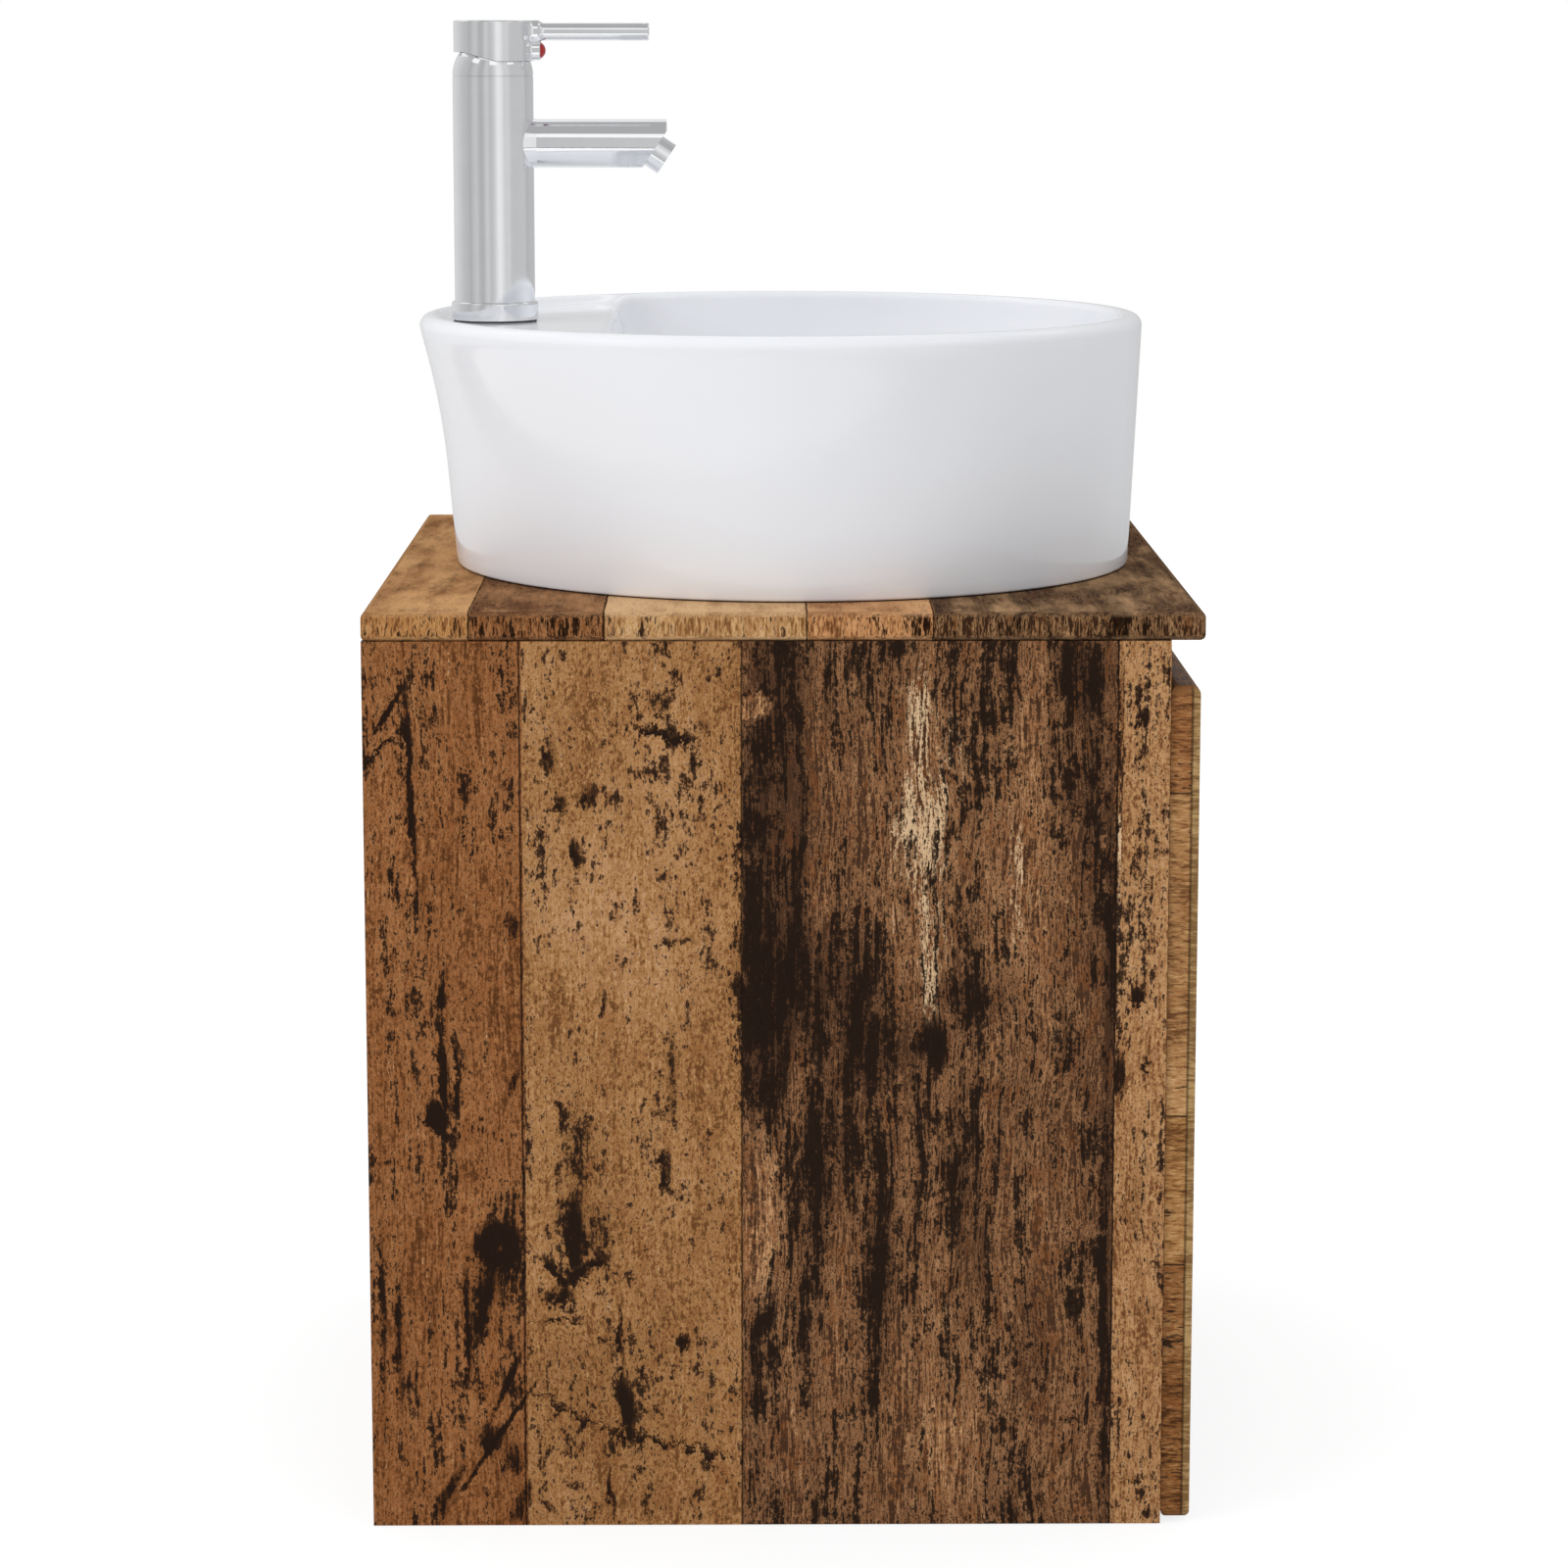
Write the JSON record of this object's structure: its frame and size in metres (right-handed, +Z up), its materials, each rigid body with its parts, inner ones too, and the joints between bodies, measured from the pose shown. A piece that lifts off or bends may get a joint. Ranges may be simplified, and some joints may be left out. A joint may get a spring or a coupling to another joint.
{
  "type": "wall-hung vanity with vessel basin and mixer tap",
  "caption": "Wall-hung washbasin cabinet with a deep drawer notched round the trap, a round vessel basin with a tap deck, and a single-lever mixer.",
  "frame": {"origin": "on the wall plane, at the middle of the cabinet's underside", "axes": "+Z up, -Y out from the wall into the room, +X to the right when the user faces the basin"},
  "size_m": [0.41, 0.4, 0.7276],
  "materials": {
    "old_wood": "satin printed board, old-plank decor",
    "drawer_board": "matt light grey board",
    "zinc_steel": "zinc plated",
    "dowel_wood": "plain beech",
    "glazed_ceramic": "glossy white glaze",
    "rubber": "matt",
    "chrome": "polished",
    "brass": "turned",
    "cartridge_plastic": "moulded",
    "stem_steel": "milled",
    "index_plastic": "glossy, one half red and one half blue"
  },
  "bodies": {
    "cabinet": {"side_panel_left": "old_wood", "side_panel_right": "old_wood", "bottom_panel": "old_wood", "top_board": "old_wood", "rear_top_rail": "old_wood", "rear_bottom_rail": "old_wood", "front_stretcher": "old_wood", "cam_discs": "zinc_steel", "cam_bolts": "zinc_steel", "slide_outer_left": "zinc_steel", "slide_outer_right": "zinc_steel", "slide_screws_cabinet": "zinc_steel", "tap_stud": "zinc_steel", "horseshoe_plate": "zinc_steel", "wood_dowels": "dowel_wood", "basin": "glazed_ceramic", "basin_seal": "rubber", "tap_gasket": "rubber", "horseshoe_gasket": "rubber", "waste_gasket": "rubber", "tap_base_ring": "chrome", "tap_body": "chrome", "cartridge_cover": "chrome", "aerator": "chrome", "waste_body": "chrome", "trap_inlet_nut": "chrome", "trap_inlet_pipe": "chrome", "trap_body": "chrome", "trap_cup": "chrome", "trap_outlet_pipe": "chrome", "tap_nut": "brass", "cartridge_nut": "brass", "waste_nut": "brass", "cartridge": "cartridge_plastic"},
    "drawer": {"drawer_front": "old_wood", "drawer_subfront": "drawer_board", "drawer_side_left": "drawer_board", "drawer_side_right": "drawer_board", "drawer_back_left": "drawer_board", "drawer_back_right": "drawer_board", "notch_wall_left": "drawer_board", "notch_wall_right": "drawer_board", "notch_wall_front": "drawer_board", "drawer_bottom": "drawer_board", "drawer_front_screws": "zinc_steel", "slide_inner_left": "zinc_steel", "slide_inner_right": "zinc_steel", "slide_screws_drawer": "zinc_steel"},
    "slide_middles": {"slide_middle_left": "zinc_steel", "slide_middle_right": "zinc_steel"},
    "outer_ball_cages": {"ball_cage_outer_left": "zinc_steel", "ball_cage_outer_right": "zinc_steel"},
    "inner_ball_cages": {"ball_cage_inner_left": "zinc_steel", "ball_cage_inner_right": "zinc_steel"},
    "tap_turret": {"cartridge_turret": "cartridge_plastic"},
    "tap_lever": {"cartridge_stem": "stem_steel", "lever_handle": "chrome", "index_button": "index_plastic", "handle_grub_screw": "zinc_steel"},
    "plug": {"waste_plug": "chrome"}
  },
  "joints": [
    {"name": "drawer_slide", "type": "slide", "parent": "cabinet", "child": "drawer", "axis": [0, -1, 0], "range_m": [0, 0.3]},
    {"name": "middle_member_slide", "type": "slide", "parent": "cabinet", "child": "slide_middles", "axis": [0, -1, 0], "range_m": [0, 0.15]},
    {"name": "outer_cage_slide", "type": "slide", "parent": "cabinet", "child": "outer_ball_cages", "axis": [0, -1, 0], "range_m": [0, 0.075]},
    {"name": "inner_cage_slide", "type": "slide", "parent": "cabinet", "child": "inner_ball_cages", "axis": [0, -1, 0], "range_m": [0, 0.225]},
    {"name": "tap_temperature", "type": "hinge", "parent": "cabinet", "child": "tap_turret", "pos_m": [0, -0.0526, 0.6995], "axis": [0, 0, 1], "range_deg": [-45, 45]},
    {"name": "lever_lift", "type": "hinge", "parent": "tap_turret", "child": "tap_lever", "pos_m": [0, -0.0526, 0.6995], "axis": [-1, 0, 0], "range_deg": [0, 22]},
    {"name": "plug_lift", "type": "slide", "parent": "cabinet", "child": "plug", "axis": [0, 0, 1], "range_m": [0, 0.009]}
  ],
  "couplings": [
    {"joint": "middle_member_slide", "follows": "drawer_slide", "ratio": 0.5},
    {"joint": "outer_cage_slide", "follows": "drawer_slide", "ratio": 0.25},
    {"joint": "inner_cage_slide", "follows": "drawer_slide", "ratio": 0.75}
  ]
}
